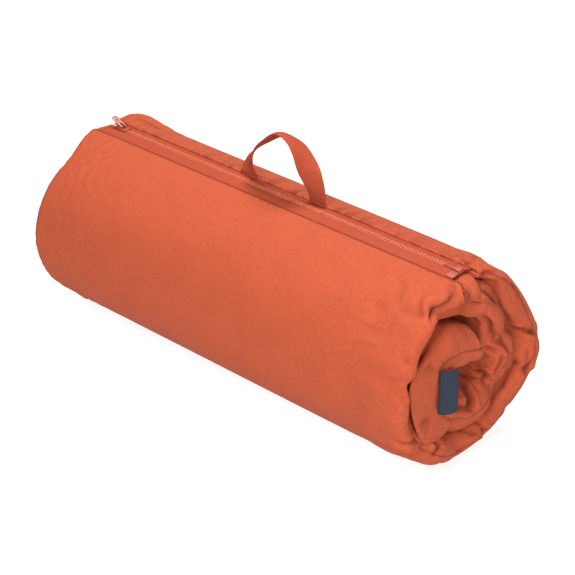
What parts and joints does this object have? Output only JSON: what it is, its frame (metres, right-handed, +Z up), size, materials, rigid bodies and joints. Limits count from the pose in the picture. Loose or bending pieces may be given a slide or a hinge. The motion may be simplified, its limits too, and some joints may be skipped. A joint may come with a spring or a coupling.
{
  "type": "roll-up mattress",
  "caption": "Foam floor mattress in a cotton cover, rolled up and closed along its free end by a full-length separating zip, with a carry handle.",
  "frame": {"origin": "middle of the roll's length and width, on the floor it lies on", "axes": "+X along the roll towards the end with the label, +Y towards the back of the roll, behind the handle, +Z up"},
  "size_m": [0.64, 0.246, 0.3177],
  "materials": {
    "cover": "terracotta woven cotton",
    "foam": "off-white foam, hidden",
    "zip_tape": "woven zip tape",
    "zip_teeth": "moulded plastic",
    "zip_end": "moulded plastic and film",
    "zip_slider": "gloss paint",
    "label": "navy woven label, blank"
  },
  "bodies": {
    "roll": {"foam_core": "foam", "outer_panel": "cover", "inner_panel": "cover", "back_panel": "cover", "zip_tape_front": "zip_tape", "zip_tape_rear": "zip_tape", "teeth_front": "zip_teeth", "teeth_rear": "zip_teeth", "top_stop_front": "zip_teeth", "top_stop_rear": "zip_teeth", "retainer_box": "zip_end", "insertion_pin": "zip_end", "retainer_pin": "zip_end", "end_film_front": "zip_end", "end_film_rear": "zip_end", "handle_foot_left": "cover", "handle_foot_right": "cover", "side_label": "label"},
    "slider": {"slider_body": "zip_slider", "slider_underplate": "zip_slider"},
    "pull": {"pull_tab": "zip_slider"},
    "handle": {"carry_handle": "cover"}
  },
  "joints": [
    {"name": "zip_slide", "type": "slide", "parent": "roll", "child": "slider", "axis": [1, 0, 0], "range_m": [0, 0.527]},
    {"name": "pull_swing", "type": "hinge", "parent": "slider", "child": "pull", "pos_m": [-0.262, 0.001, 0.24555], "axis": [0, 1, 0], "range_deg": [-22, 134]},
    {"name": "handle_flop", "type": "hinge", "parent": "roll", "child": "handle", "pos_m": [0, 0.0155, 0.2437], "axis": [1, 0, 0], "range_deg": [-60, 60], "stiffness_Nm_per_rad": 0.02}
  ]
}
